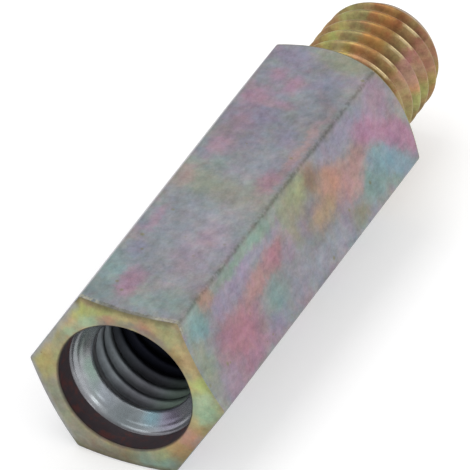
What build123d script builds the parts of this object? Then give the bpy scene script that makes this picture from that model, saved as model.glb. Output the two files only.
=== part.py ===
from build123d import *
import os
from math import cos, radians, tan

# Screw-in spacer for a pipe clip: a length of hexagon bar turned at both ends, with a tapped hole in
# one end and a threaded stud of the same thread at the other. All sizes are in millimetres.
# It lies on one of its flats: +Y runs along the bar from the open end to the stud, +Z is up, and the
# origin is under the middle of its length, on the surface that the flat rests on.

# Hexagon bar
across_flats = 14.0
body_length = 38.0
bar_edge_radius = 0.3

# Thread, M10 x 1.5 in both ends; the helix itself is a finish and isn't cut in this model
thread_diameter = 10.0
thread_pitch = 1.5
rolled_crest_allowance = 0.15

# Open end: a flat ring round the hole, and the corners turned back from it. The ring's share is of the
# wall between the hole's mouth and a flat.
open_ring_share = 0.6
open_chamfer_angle = 20.0
counterbore_clearance = 1.0
counterbore_depth = 2.0
countersink_angle = 90.0
drilled_depth = 22.0
drill_point_angle = 118.0
mouth_edge_break = 0.15

# Stud end: the bar's corners turned back to a shoulder, and the stud that stands on it. The ring's
# share is of the wall between the stud's root and a flat.
shoulder_ring_share = 0.82
shoulder_chamfer_angle = 45.0
stud_length = 11.0
stud_lead_chamfer = 0.9
stud_root_radius = 0.4

# How far a cutting profile runs past the metal that it cuts
overrun = 1.0

# Sizes that follow from the ones above
flat_radius = across_flats / 2
corner_radius = flat_radius / cos(radians(30))
turned_radius = corner_radius + overrun
stud_radius = (thread_diameter - rolled_crest_allowance) / 2
stud_root_edge_radius = stud_radius + stud_root_radius
shoulder_ring_radius = stud_root_edge_radius + shoulder_ring_share * (flat_radius - stud_root_edge_radius)
tapping_radius = (thread_diameter - thread_pitch) / 2
counterbore_radius = (thread_diameter + counterbore_clearance) / 2
mouth_radius = counterbore_radius + mouth_edge_break
open_ring_radius = mouth_radius + open_ring_share * (flat_radius - mouth_radius)
total_length = body_length + stud_length


def hexagon_bar():
    """The bar as it is cut off: a hexagon with slightly rounded edges, two flats level."""
    section = RegularPolygon(flat_radius, side_count=6, major_radius=False)
    section = fillet(section.vertices(), bar_edge_radius)
    return extrude(Plane.XZ * section, -body_length)


def turned_envelope():
    """The solid of revolution that both end chamfers are cut to, a little wider than the bar."""
    open_chamfer_run = (turned_radius - open_ring_radius) * tan(radians(open_chamfer_angle))
    shoulder_chamfer_run = (turned_radius - shoulder_ring_radius) * tan(radians(shoulder_chamfer_angle))
    profile = Polyline(
        (0, 0),
        (open_ring_radius, 0),
        (turned_radius, open_chamfer_run),
        (turned_radius, body_length - shoulder_chamfer_run),
        (shoulder_ring_radius, body_length),
        (0, body_length),
        close=True,
    )
    return revolve(make_face(profile), Axis.Y)


def stud():
    """The stud at its thread's crest diameter, with its lead chamfer, reaching into the bar."""
    profile = Polyline(
        (0, body_length - overrun),
        (stud_radius, body_length - overrun),
        (stud_radius, total_length - stud_lead_chamfer),
        (stud_radius - stud_lead_chamfer, total_length),
        (0, total_length),
        close=True,
    )
    return revolve(make_face(profile), Axis.Y)


def stepped_hole():
    """What the tools take out of the open end: edge break, counterbore, countersink, drill and its point."""
    countersink_run = (counterbore_radius - tapping_radius) / tan(radians(countersink_angle / 2))
    drill_point_run = tapping_radius / tan(radians(drill_point_angle / 2))
    profile = Polyline(
        (0, -overrun),
        (mouth_radius + overrun, -overrun),
        (counterbore_radius, mouth_edge_break),
        (counterbore_radius, counterbore_depth),
        (tapping_radius, counterbore_depth + countersink_run),
        (tapping_radius, drilled_depth),
        (0, drilled_depth + drill_point_run),
        close=True,
    )
    return revolve(make_face(profile), Axis.Y)


def hex_spacer():
    """The finished piece, lying on a flat with its length centred."""
    blank = (hexagon_bar() & turned_envelope()) + stud()
    shoulder_root = blank.edges().filter_by(GeomType.CIRCLE).filter_by(
        lambda edge: abs(edge.radius - stud_radius) < 1e-6 and abs(edge.center().Y - body_length) < 1e-6
    )
    blank = fillet(shoulder_root, stud_root_radius)
    return Pos(0, -total_length / 2, flat_radius) * (blank - stepped_hole())


os.makedirs("parts", exist_ok=True)
export_step(hex_spacer(), "parts/hex_spacer.step")
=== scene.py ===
"""A screw-in hexagon spacer for pipe clips, lying on one flat.

One piece stands for the whole spacer. Its surface is a grid of rows that run round the bar and columns
that run from the bottom of the tapped hole, over the open end and along the bar, to the tip of the stud.
Both M10 threads are cut into that grid, and each zone of it takes its own yellow-passivated zinc finish.
"""

import logging
import math
from dataclasses import dataclass, field, replace
from enum import Enum, IntEnum
from typing import Any

import bpy
import numpy as np
from mathutils import Matrix, Vector


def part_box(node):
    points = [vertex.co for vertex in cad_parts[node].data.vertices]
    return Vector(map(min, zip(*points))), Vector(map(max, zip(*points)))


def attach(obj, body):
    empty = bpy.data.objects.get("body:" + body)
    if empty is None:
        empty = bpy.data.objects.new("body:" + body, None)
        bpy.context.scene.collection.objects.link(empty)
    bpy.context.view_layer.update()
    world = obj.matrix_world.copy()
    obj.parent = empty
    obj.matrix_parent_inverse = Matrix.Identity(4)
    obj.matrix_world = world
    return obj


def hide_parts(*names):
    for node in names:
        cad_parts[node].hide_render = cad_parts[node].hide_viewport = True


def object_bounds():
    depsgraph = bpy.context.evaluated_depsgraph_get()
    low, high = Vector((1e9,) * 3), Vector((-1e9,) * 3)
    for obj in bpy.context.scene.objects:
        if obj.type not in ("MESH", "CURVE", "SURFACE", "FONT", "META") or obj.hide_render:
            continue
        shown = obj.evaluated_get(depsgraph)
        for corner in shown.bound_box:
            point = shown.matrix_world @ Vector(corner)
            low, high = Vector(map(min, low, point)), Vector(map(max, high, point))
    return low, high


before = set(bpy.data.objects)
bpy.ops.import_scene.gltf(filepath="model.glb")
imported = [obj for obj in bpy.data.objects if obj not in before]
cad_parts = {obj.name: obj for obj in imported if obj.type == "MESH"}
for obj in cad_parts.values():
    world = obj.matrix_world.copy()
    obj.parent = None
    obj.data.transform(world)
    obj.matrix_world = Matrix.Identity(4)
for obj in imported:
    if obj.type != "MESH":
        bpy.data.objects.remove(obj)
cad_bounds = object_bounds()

METRES_PER_MM = 0.001
MM_PER_METRE = 1000.0
FULL_TURN = 2 * math.pi
TINY = 1e-9
CAD_NODE = "hex_spacer"
PIECE = "hex_spacer_plated"
UNROLLED_MAP = "unrolled_mm"
BODY = "root"

Length = float | np.ndarray

log = logging.getLogger("hex_spacer")


class Zone(IntEnum):
    """The zones of the spacer's surface, in the order of its material slots."""

    FLATS = 0
    TURNED_ENDS = 1
    COUNTERBORE = 2
    BORE = 3
    STUD = 4


class Tint(Enum):
    """Colours that the passivated zinc takes, and colours of painted shade and highlight, as red, green and
    blue from 0 to 255.
    """

    TEAL = (114, 156, 149)
    MINT = (130, 160, 143)
    CYAN = (118, 158, 170)
    BLUE_GREY = (141, 149, 157)
    LILAC = (146, 139, 163)
    VIOLET = (128, 125, 156)
    MAUVE = (153, 128, 147)
    PINK = (170, 118, 147)
    CRIMSON = (176, 110, 128)
    SALMON = (178, 134, 129)
    ORANGE = (192, 138, 108)
    YELLOW = (184, 155, 108)
    LIME = (162, 174, 110)
    GOLD = (164, 146, 78)
    OLIVE = (146, 150, 112)
    MOSS = (124, 121, 84)
    BROWN = (134, 106, 72)
    COPPER = (158, 104, 50)
    RUST = (140, 82, 44)
    RUSSET = (150, 84, 82)
    ROSE = (164, 116, 104)
    UMBER = (84, 56, 34)
    STEEL = (140, 145, 151)
    PALE_STEEL = (176, 178, 182)
    DARK_STEEL = (108, 117, 120)
    SHADED_GREEN = (118, 138, 124)
    # Painted shade: near black deep in the tapped hole.
    NIGHT = (10, 14, 30)
    SPRING = (146, 176, 148)
    LEMON = (166, 180, 108)
    HAZE = (162, 166, 177)
    SHADE = (108, 108, 115)
    TAN = (174, 158, 116)
    PEWTER = (130, 134, 126)
    SOOT = (100, 94, 86)
    RIM_STEEL = (146, 147, 146)
    RIM_BROWN = (106, 102, 78)
    # Pale line along the open end's lip: wear, and a painted highlight of the edge.
    WORN_LIP = (178, 176, 158)
    # Painted highlight on the stud's crests.
    BARE_CREST = (214, 194, 150)
    EDGE_GREY = (104, 104, 92)
    # Painted shade of the counterbore's wall, its foot and the hole's broken edge.
    STAIN = (66, 57, 61)
    # Red-brown film of the counterbore's wall, painted dark as shade.
    RUSSET_STAIN = (94, 56, 54)

    def linear(self) -> tuple[float, float, float, float]:
        """Gives the colour as linear light with full cover."""
        share = np.array(self.value) / 255
        light = np.where(share <= 0.04045, share / 12.92, ((share + 0.055) / 1.055) ** 2.4)
        return (*map(float, light), 1.0)


# ---------------------------------------------------------------------------------------- shape


@dataclass
class HexagonSection:
    """The bar's cross-section, a hexagon with slightly rounded edges. Each flat takes up one sector of the
    turn, in degrees."""

    across_flats: float
    edge_radius: float = 0.3
    sector: float = 60.0
    edge_steps: int = 3
    holding_gap: float = 0.25
    plain_columns: int = 180

    @property
    def half_sector(self) -> float:
        """Gives the angle from a corner to the middle of a flat, in radians."""
        return math.radians(self.sector / 2)

    @property
    def flat_radius(self) -> float:
        """Gives the distance from the axis to a flat."""
        return self.across_flats / 2

    @property
    def flat_width(self) -> float:
        """Gives the width of one flat from sharp corner to sharp corner."""
        return self.across_flats * math.tan(self.half_sector)

    @property
    def edge_centre(self) -> float:
        """Gives the distance from the axis to the centre that an edge is rounded about."""
        return (self.flat_radius - self.edge_radius) / math.cos(self.half_sector)

    @property
    def edge_half_angle(self) -> float:
        """Gives the angle, seen from the axis, from a corner to where its rounding meets the flat."""
        lateral = self.edge_radius * math.sin(self.half_sector)
        outward = self.edge_centre + self.edge_radius * math.cos(self.half_sector)
        return math.degrees(math.atan2(lateral, outward))

    def column_angles(self) -> np.ndarray:
        """Spaces the columns evenly round the bar, with more of them over each rounded edge.

        Returns:
            Angles in degrees from 0 to 360, both ends included, so that the last column meets the first.
        """
        even = np.linspace(0, 360, self.plain_columns + 1)
        corners = np.arange(0, 360 + self.sector, self.sector)
        over_edge = np.linspace(-1, 1, 2 * self.edge_steps + 1) * self.edge_half_angle
        held = np.array([-1, 1]) * (self.edge_half_angle + self.holding_gap)
        offsets = np.concatenate([over_edge, held])
        extra = (corners[:, None] + offsets[None, :]).ravel()
        extra = extra[(extra >= 0) & (extra <= 360)]
        clear = np.abs(self.from_corner(even)) > self.edge_half_angle + 2 * self.holding_gap
        return np.unique(np.round(np.concatenate([even[clear], extra]), 9))

    def from_corner(self, angles: np.ndarray) -> np.ndarray:
        """Gives how far each angle lies from the nearest corner, below nought on one side of it."""
        return (angles + self.sector / 2) % self.sector - self.sector / 2

    def radius_at(self, angles: np.ndarray) -> np.ndarray:
        """Works out the bar's radius: on a flat it is the flat's distance over the cosine of the angle to
        the flat's middle, and on an edge it is where the ray meets the edge's circle.

        Args:
            angles: Angles round the axis, in degrees, with a corner at 0.

        Returns:
            The radius at each angle.
        """
        from_corner = np.radians(self.from_corner(angles))
        from_flat = self.half_sector - np.abs(from_corner)
        on_flat = self.flat_radius / np.cos(from_flat)
        reach = np.maximum(self.edge_radius**2 - (self.edge_centre * np.sin(from_corner)) ** 2, 0)
        on_edge = self.edge_centre * np.cos(from_corner) + np.sqrt(reach)
        rounded = np.abs(from_corner) <= np.radians(self.edge_half_angle)
        return np.where(rounded, on_edge, on_flat)

    def unrolled(self, angles: np.ndarray) -> np.ndarray:
        """Works out the distance along the unrolled flats from the corner at angle 0.

        Args:
            angles: Angles round the axis, in degrees.

        Returns:
            The distance in millimetres: whole flats passed, plus the place across the present flat.
        """
        last_flat = 360 / self.sector - 1
        flat_number = np.minimum(angles // self.sector, last_flat)
        to_middle = np.radians(angles - self.sector * (flat_number + 0.5))
        return (flat_number + 0.5) * self.flat_width + self.flat_radius * np.tan(to_middle)


def soft_least(first: np.ndarray, second: np.ndarray, blend: float) -> np.ndarray:
    """Gives the smaller of two heights, with a round passage as wide as blend where they cross."""
    return (first + second - np.sqrt((first - second) ** 2 + blend**2)) / 2


def soft_most(first: np.ndarray, second: np.ndarray, blend: float) -> np.ndarray:
    """Gives the larger of two heights, with a round passage as wide as blend where they cross."""
    return (first + second + np.sqrt((first - second) ** 2 + blend**2)) / 2


def smooth_step(share: np.ndarray) -> np.ndarray:
    """Gives a share that leaves 0 and reaches 1 without a bend: its square times three less its double."""
    held = np.clip(share, 0, 1)
    return held**2 * (3 - 2 * held)


@dataclass(frozen=True)
class ThreadForm:
    """A right-handed ISO metric thread, cut outside or inside. Its flanks lean half of its flank angle
    from square to the axis, and its sharp outer corners are cut off where they are an eighth of a pitch
    wide."""

    crest_radius: float
    root_radius: float
    corner: float
    phase: float
    inside: bool = False
    diameter: float = 10.0
    pitch: float = 1.5
    flank_angle: float = 60.0

    def radius_at(self, along: np.ndarray, turn: np.ndarray) -> np.ndarray:
        """Works out the thread's radius. A point's place in its pitch is its distance along the bar plus a
        pitch for each turn. The flanks rise from the groove to the crest, and crest and root are flat with
        round passages.

        Args:
            along: Distance along the bar.
            turn: Share of a full turn round the axis.

        Returns:
            The radius at each point.
        """
        place = (along / self.pitch + turn - self.phase) % 1.0
        from_crest = np.abs(place - np.round(place)) * self.pitch
        from_groove = self.pitch / 2 - from_crest
        steepness = 1 / math.tan(math.radians(self.flank_angle / 2))
        half_crest = self.pitch / 16
        if self.inside:
            flank = self.diameter / 2 - (from_groove - half_crest) * steepness
            bounded = soft_least(flank, np.full_like(flank, self.root_radius), self.corner)
            return soft_most(bounded, np.full_like(flank, self.crest_radius), self.corner)
        flank = self.diameter / 2 - (from_crest - half_crest) * steepness
        bounded = soft_least(flank, np.full_like(flank, self.crest_radius), self.corner)
        return soft_most(bounded, np.full_like(flank, self.root_radius), 2 * self.corner)


@dataclass
class Station:
    """A line round the bar where its outline turns, with the zone of the surface that follows it."""

    along: Length
    radius: Length
    zone: Zone
    rounding: float = 0.0


@dataclass
class SurfaceRows:
    """Rows of the surface grid, each with a place along the bar and a radius at every column.

    A rounded corner takes up no more than its share of either side, and a row on each side holds the
    shading of the flat stretch beyond it.
    """

    columns: int
    curve_rows: int = 6
    curve_share: float = 0.4
    holding_run: float = 0.04
    holding_share: float = 0.08
    along: list[np.ndarray] = field(default_factory=list)
    radius: list[np.ndarray] = field(default_factory=list)
    zones: list[Zone] = field(default_factory=list)

    def add(self, along: np.ndarray, radius: np.ndarray, zone: Zone) -> None:
        """Adds rows that all start the same zone.

        Args:
            along: Place along the bar, rows by columns.
            radius: Radius, rows by columns.
            zone: The zone of the surface from each of these rows to the next.
        """
        self.along.append(along)
        self.radius.append(radius)
        self.zones.extend([zone] * len(along))

    def add_outline(self, stations: list[Station]) -> None:
        """Adds the rows of an outline whose corners are rounded. Each corner becomes the curve that leaves
        one side, aims at the corner and joins the other side: the corner's two tangent points and the
        corner itself, weighted by the squares of the way run and the way left.

        Args:
            stations: The outline's corners in order. The first and last are not rounded.
        """
        places = [self.spread(station) for station in stations]
        for number, station in enumerate(stations):
            here = places[number]
            if not station.rounding or number in (0, len(stations) - 1):
                self.add(here[None, 0], here[None, 1], station.zone)
                continue
            sides = [places[number - 1] - here, places[number + 1] - here]
            lengths = [np.linalg.norm(side, axis=0) for side in sides]
            units = [side / np.maximum(length, TINY) for side, length in zip(sides, lengths)]
            reach = np.minimum(station.rounding, self.curve_share * np.minimum(*lengths))
            hold = np.minimum(self.holding_run, self.holding_share * np.minimum(*lengths))
            before, after = (here + unit * reach for unit in units)
            run = np.linspace(0, 1, self.curve_rows)[:, None, None]
            curve = (1 - run) ** 2 * before + 2 * run * (1 - run) * here + run**2 * after
            rows = np.concatenate([(before + units[0] * hold)[None], curve, (after + units[1] * hold)[None]])
            self.add(rows[:, 0], rows[:, 1], station.zone)

    def spread(self, station: Station) -> np.ndarray:
        """Gives a station's place along the bar and its radius, both for every column."""
        pair = (station.along, station.radius)
        return np.stack([np.broadcast_to(np.asarray(value, float), (self.columns,)) for value in pair])

    def stacked(self) -> tuple[np.ndarray, np.ndarray, np.ndarray]:
        """Gives all rows as one grid of places, one of radii, and the zone that each row starts."""
        return np.concatenate(self.along), np.concatenate(self.radius), np.array(self.zones)


@dataclass
class TurnedSpacer:
    """The spacer itself: hexagon bar, stepped and tapped hole, shoulder and threaded stud.

    All sizes are in millimetres, and places along the bar are measured from the open end. Where two runs of
    rows meet on a flat stretch, a seam gives the width from the nearest corner to where they meet.
    """

    across_flats: float
    total_length: float
    body_length: float = 38.0
    open_ring_radius: float = 6.46
    open_chamfer_angle: float = 20.0
    shoulder_ring_radius: float = 6.7
    shoulder_chamfer_angle: float = 45.0
    counterbore_radius: float = 5.5
    counterbore_depth: float = 2.0
    mouth_edge_break: float = 0.15
    mouth_rounding: float = 0.05
    ring_rounding: float = 0.06
    ring_seam: float = 0.3
    countersink_start: float = 0.03
    countersink_rows_run: float = 0.85
    countersink_rows: int = 28
    tool_ring_place: float = 2.27
    tool_ring_spacing: float = 0.36
    tool_ring_depth: float = 0.024
    tool_ring_fade: float = 0.3
    tapping_radius: float = 4.16
    bore_groove_radius: float = 5.02
    thread_entry_depth: float = 3.62
    thread_entry_run: float = 0.3
    full_thread_depth: float = 16.0
    tapped_depth: float = 19.0
    drilled_depth: float = 22.0
    drill_point_angle: float = 118.0
    drill_rounding: float = 0.15
    edge_break: float = 0.02
    flat_rows: int = 12
    flat_rows_margin: float = 0.06
    stud_radius: float = 4.925
    stud_groove_radius: float = 4.16
    stud_root_radius: float = 0.4
    stud_root_rows: int = 6
    stud_seam: float = 0.1
    stud_lead_drop: float = 0.83
    stud_lead_run: float = 1.3
    tip_rounding: float = 0.09
    tip_run: float = 0.12
    tip_inset: float = 0.04
    dish_shares: tuple[float, float] = (0.7, 0.35)
    dish_depths: tuple[float, float] = (0.1, 0.12)
    bore_rows_per_pitch: int = 13
    stud_rows_per_pitch: int = 16
    weld_steps_per_mm: int = 5000
    weld_offset: float = 0.137

    def __post_init__(self) -> None:
        """Makes both threads, the section and the columns that every row shares."""
        self.bore_thread = ThreadForm(self.tapping_radius, self.bore_groove_radius, corner=0.09, phase=0.1,
                                      inside=True)
        self.stud_thread = ThreadForm(self.stud_radius, self.stud_groove_radius, corner=0.15, phase=0.3)
        self.section = HexagonSection(self.across_flats)
        self.angles = self.section.column_angles()
        self.turn = self.angles / 360
        self.bar_radius = self.section.radius_at(self.angles)

    def bore_rows(self, rows: SurfaceRows) -> None:
        """Adds the hole from its drilled point to the mouth: drill cone, plain wall, thread with its run-out,
        countersink, counterbore and broken edge.

        Args:
            rows: The rows that the hole's rows are added to.
        """
        point = self.tapping_radius / math.tan(math.radians(self.drill_point_angle / 2))
        bottom = [
            Station(self.drilled_depth + point, 0.0, Zone.BORE),
            Station(self.drilled_depth + point / 2, self.tapping_radius / 2, Zone.BORE),
            Station(self.drilled_depth, self.tapping_radius, Zone.BORE, self.drill_rounding),
            Station(self.tapped_depth, self.tapping_radius, Zone.BORE),
        ]
        rows.add_outline(bottom)
        self.bore_thread_rows(rows)
        cone_start = self.counterbore_depth + self.countersink_start
        cone_depths = np.linspace(self.countersink_end, cone_start, self.countersink_rows)
        mouth_radius = self.counterbore_radius + self.mouth_edge_break
        mouth = [
            *[Station(depth, self.countersink_radius(depth), Zone.BORE) for depth in cone_depths],
            Station(self.counterbore_depth, self.counterbore_radius, Zone.COUNTERBORE),
            Station(self.mouth_edge_break, self.counterbore_radius, Zone.TURNED_ENDS, self.mouth_rounding),
            Station(0.0, mouth_radius, Zone.TURNED_ENDS, self.mouth_rounding),
            Station(0.0, self.ring_seam_radius, Zone.TURNED_ENDS),
        ]
        rows.add_outline(mouth)

    @property
    def countersink_end(self) -> float:
        """Gives the depth on the countersink at which the thread's rows take over."""
        return self.counterbore_depth + self.countersink_rows_run

    @property
    def ring_seam_radius(self) -> float:
        """Gives the radius on the open end's ring at which the hole's rows hand over to the bar's."""
        return self.counterbore_radius + self.ring_seam

    def countersink_radius(self, depth: Length) -> Length:
        """Works out the radius of the 90 degree countersink, which falls as fast as the depth grows. The
        tool has left rings on it: a cosine wave that dies out on both sides of its deepest groove.

        Args:
            depth: Distance from the open end, one value or many.

        Returns:
            The radius at each depth.
        """
        from_groove = depth - self.tool_ring_place
        wave = np.cos(FULL_TURN * from_groove / self.tool_ring_spacing)
        rings = self.tool_ring_depth * wave * np.exp(-np.abs(from_groove) / self.tool_ring_fade)
        return self.counterbore_radius - (depth - self.counterbore_depth) + rings

    def bore_thread_rows(self, rows: SurfaceRows) -> None:
        """Adds the hole's thread. Each row follows the helix: its depth falls by a pitch a turn, and is cut
        off at both ends of the thread. The groove's depth grows from nothing below the countersink and
        fades out again before the tap's end.

        Args:
            rows: The rows that the thread's rows are added to.
        """
        form = self.bore_thread
        pitches = (self.tapped_depth - self.countersink_end) / form.pitch + 1
        steps = np.arange(math.ceil(pitches * self.bore_rows_per_pitch) + 1)[:, None]
        helix = self.tapped_depth + form.pitch * (1 - self.turn[None] - steps / self.bore_rows_per_pitch)
        depth = np.clip(helix, self.countersink_end, self.tapped_depth)
        run_in = smooth_step((depth - self.thread_entry_depth) / self.thread_entry_run)
        run_out = (self.tapped_depth - depth) / (self.tapped_depth - self.full_thread_depth)
        share = run_in * np.clip(run_out, 0, 1)
        radius = self.tapping_radius + share * (form.radius_at(depth, self.turn[None]) - self.tapping_radius)
        radius = np.maximum(radius, self.countersink_radius(depth))
        rows.add(depth, radius, Zone.BORE)

    def body_rows(self, rows: SurfaceRows) -> None:
        """Adds the open end's ring and chamfer, the bar's flats, and the shoulder's chamfer and ring. A
        chamfer ends on the bar where its cone, which rises from the ring at its angle, meets the section.

        Args:
            rows: The rows that these are added to.
        """
        open_slope = math.tan(math.radians(self.open_chamfer_angle))
        open_run = (self.bar_radius - self.open_ring_radius) * open_slope
        shoulder_slope = math.tan(math.radians(self.shoulder_chamfer_angle))
        shoulder_run = (self.bar_radius - self.shoulder_ring_radius) * shoulder_slope
        body = self.body_length
        shares = np.linspace(self.flat_rows_margin, 1 - self.flat_rows_margin, self.flat_rows)
        stud_seam_radius = self.stud_radius + self.stud_root_radius + self.stud_seam
        outline = [
            Station(0.0, self.ring_seam_radius, Zone.TURNED_ENDS),
            Station(0.0, self.open_ring_radius, Zone.TURNED_ENDS, self.ring_rounding),
            Station(open_run, self.bar_radius, Zone.FLATS, self.edge_break),
            *[Station(share * body, self.bar_radius, Zone.FLATS) for share in shares],
            Station(body - shoulder_run, self.bar_radius, Zone.TURNED_ENDS, self.edge_break),
            Station(body, self.shoulder_ring_radius, Zone.TURNED_ENDS, self.ring_rounding),
            Station(body, stud_seam_radius, Zone.TURNED_ENDS),
        ]
        rows.add_outline(outline)

    def stud_rows(self, rows: SurfaceRows) -> None:
        """Adds the stud: the quarter circle at its root, the thread, the lead chamfer and the end face, which
        is dished a little toward its middle.

        Args:
            rows: The rows that the stud's rows are added to.
        """
        sweep = np.linspace(0, FULL_TURN / 4, self.stud_root_rows)[:, None] + 0 * self.turn[None]
        root_along = self.body_length + self.stud_root_radius * (1 - np.cos(sweep))
        root_radius = self.stud_radius + self.stud_root_radius * (1 - np.sin(sweep))
        rows.add(root_along, root_radius, Zone.STUD)
        tip_radius = self.stud_radius - self.stud_lead_drop
        lead_slope = self.stud_lead_drop / self.stud_lead_run
        start = self.body_length + self.stud_root_radius
        end = self.total_length - self.tip_run
        form = self.stud_thread
        pitches = (end - start) / form.pitch + 1
        steps = np.arange(math.ceil(pitches * self.stud_rows_per_pitch) + 1)[:, None]
        helix = start + form.pitch * (steps / self.stud_rows_per_pitch - self.turn[None])
        along = np.clip(helix, start, end)
        run_in = smooth_step((along - start) / form.pitch)
        radius = self.stud_radius - run_in * (self.stud_radius - form.radius_at(along, self.turn[None]))
        radius = soft_least(radius, tip_radius + (self.total_length - along) * lead_slope, form.corner)
        rows.add(along, radius, Zone.STUD)
        outer_share, inner_share = self.dish_shares
        inner_depth, middle_depth = self.dish_depths
        tip = [
            Station(end, radius[-1], Zone.STUD),
            Station(self.total_length, tip_radius - self.tip_inset, Zone.STUD, self.tip_rounding),
            Station(self.total_length, tip_radius * outer_share, Zone.STUD),
            Station(self.total_length - inner_depth, tip_radius * inner_share, Zone.STUD),
            Station(self.total_length - middle_depth, 0.0, Zone.STUD),
        ]
        rows.add_outline(tip)

    def build(self) -> bpy.types.Object:
        """Carries the rows round the bar, welds the points that fall together and makes the mesh object. A
        point lies at its radius times the cosine and sine of its angle. Each cell of the grid becomes two
        triangles, and those that the welding leaves without area are dropped.

        Returns:
            The spacer's object, in place in its mesh, with the unrolled surface as its UV map.
        """
        rows = SurfaceRows(columns=len(self.angles))
        self.bore_rows(rows)
        self.body_rows(rows)
        self.stud_rows(rows)
        along, radius, zones = rows.stacked()
        angle = np.radians(self.angles)[None]
        sideways = radius * np.cos(angle)
        upwards = radius * np.sin(angle) + self.section.flat_radius
        points = np.stack([sideways, along - self.total_length / 2, upwards], axis=-1).reshape(-1, 3)
        unrolled = np.broadcast_arrays(along, self.section.unrolled(self.angles)[None])
        unrolled = np.stack(unrolled, axis=-1).reshape(-1, 2)
        row_count, column_count = along.shape
        corner = np.arange(row_count * column_count).reshape(row_count, column_count)
        here, below = corner[:-1, :-1].ravel(), corner[1:, :-1].ravel()
        right, diagonal = corner[:-1, 1:].ravel(), corner[1:, 1:].ravel()
        lower = np.stack([here, below, diagonal], axis=1)
        upper = np.stack([here, diagonal, right], axis=1)
        triangles = np.concatenate([lower, upper])
        zone_of = np.tile(np.repeat(zones[:-1], column_count - 1), 2)
        first, welded = self.weld(points)
        joined = welded[triangles]
        real = np.all(joined != np.roll(joined, 1, axis=1), axis=1)
        mesh = bpy.data.meshes.new(PIECE)
        mesh.from_pydata(points[first] * METRES_PER_MM, [], joined[real].tolist())
        mesh.polygons.foreach_set("material_index", zone_of[real].astype(np.int32))
        mesh.polygons.foreach_set("use_smooth", np.ones(int(real.sum()), bool))
        layer = mesh.uv_layers.new(name=UNROLLED_MAP)
        layer.data.foreach_set("uv", unrolled[triangles[real].ravel()].ravel().astype(np.float32))
        mesh.update()
        spacer = bpy.data.objects.new(PIECE, mesh)
        bpy.context.scene.collection.objects.link(spacer)
        return spacer

    def weld(self, points: np.ndarray) -> tuple[np.ndarray, np.ndarray]:
        """Finds the points that fall together: those that round to the same place on a fine grid. The grid is
        set off a little, so that points on the axis and on the flats don't lie between two of its steps.

        Args:
            points: The points, one in each row.

        Returns:
            The number of the first point at each place, and for every point the number of its place.
        """
        placed = np.round(points * self.weld_steps_per_mm + self.weld_offset)
        _, first, welded = np.unique(placed, axis=0, return_index=True, return_inverse=True)
        return first, welded.ravel()


# -------------------------------------------------------------------------------------- finishes


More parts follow.
